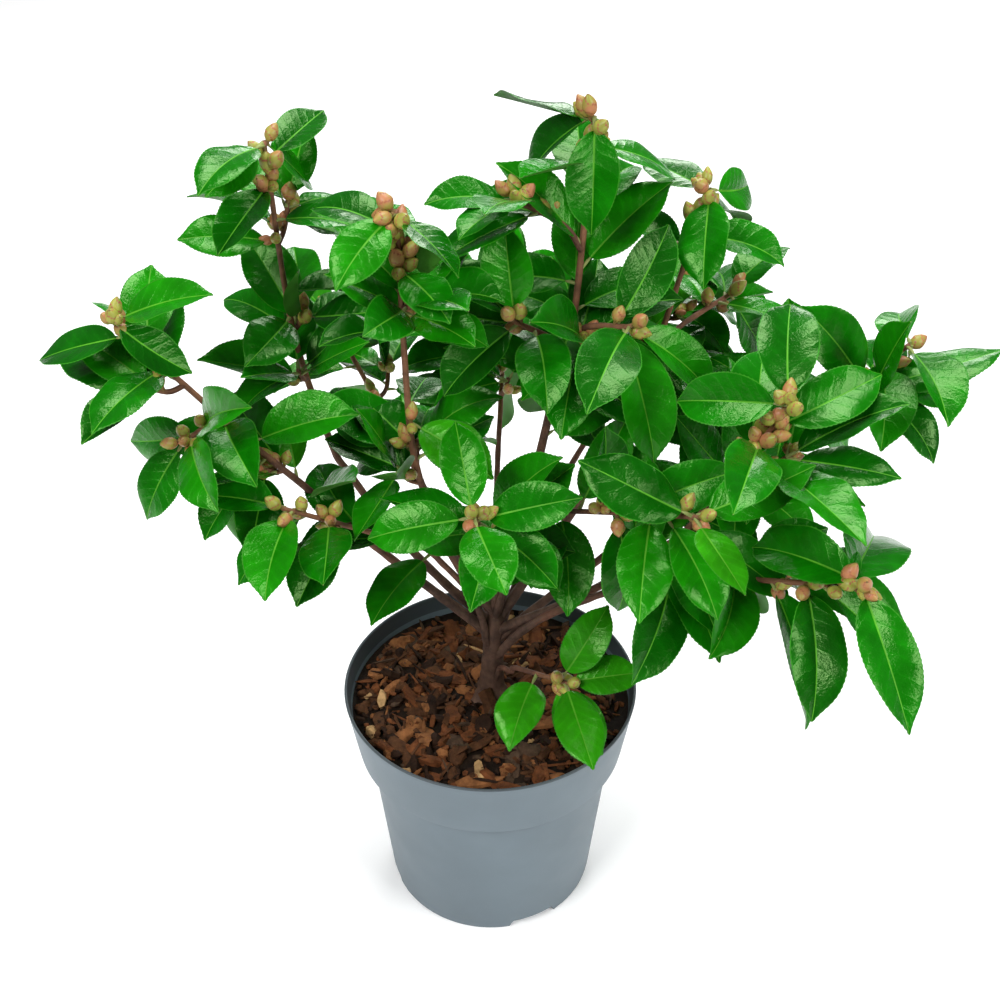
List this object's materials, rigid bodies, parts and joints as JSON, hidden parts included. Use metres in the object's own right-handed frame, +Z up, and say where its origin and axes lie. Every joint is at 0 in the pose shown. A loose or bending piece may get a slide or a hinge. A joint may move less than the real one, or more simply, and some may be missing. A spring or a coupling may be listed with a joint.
{
  "type": "potted camellia shrub",
  "caption": "Young evergreen camellia in a round nursery pot: a short trunk, spreading boughs and separate masses of glossy leaves.",
  "frame": {"origin": "centre of the pot's flat underside, on the ground", "axes": "+Z up along the pot's axis, -Y towards the shrub's open face side, +X to the right of a viewer at that side"},
  "size_m": [0.4001, 0.2886, 0.4494],
  "materials": {
    "pot": "matte moulded grey-blue plastic",
    "soil": "moist reddish-brown bark chips",
    "bark": "smooth young brown bark",
    "foliage": "glossy deep green leaves with paler undersides"
  },
  "bodies": {
    "root": {"pot": "pot", "soil": "soil", "trunk": "bark", "bough_far_left": "bark", "bough_upper_left": "bark", "bough_left_centre": "bark", "bough_lower_left": "bark", "bough_leader": "bark", "bough_upper_right": "bark", "bough_right": "bark", "bough_far_right": "bark", "bough_lower_right": "bark", "bough_right_centre": "bark", "bough_front_low": "bark", "bough_front": "bark", "bough_back_left": "bark", "bough_back": "bark", "bough_back_right": "bark", "leaves_far_left_tip": "foliage", "leaves_far_left_inner": "foliage", "leaves_far_left_low": "foliage", "leaves_upper_left_tip": "foliage", "leaves_upper_left_inner": "foliage", "leaves_left_centre_tip": "foliage", "leaves_left_centre_inner": "foliage", "leaves_lower_left_tip": "foliage", "leaves_lower_left_inner": "foliage", "leaves_leader_tip": "foliage", "leaves_leader_inner": "foliage", "leaves_leader_left": "foliage", "leaves_leader_front": "foliage", "leaves_leader_right": "foliage", "leaves_upper_right_tip": "foliage", "leaves_upper_right_inner": "foliage", "leaves_upper_right_out": "foliage", "leaves_right_tip": "foliage", "leaves_right_inner": "foliage", "leaves_right_low": "foliage", "leaves_far_right_tip": "foliage", "leaves_far_right_inner": "foliage", "leaves_far_right_back": "foliage", "leaves_lower_right_tip": "foliage", "leaves_lower_right_inner": "foliage", "leaves_right_centre": "foliage", "leaves_front_low": "foliage", "leaves_front": "foliage", "leaves_back_left": "foliage", "leaves_back": "foliage", "leaves_back_up": "foliage", "leaves_back_right": "foliage"}
  },
  "joints": []
}
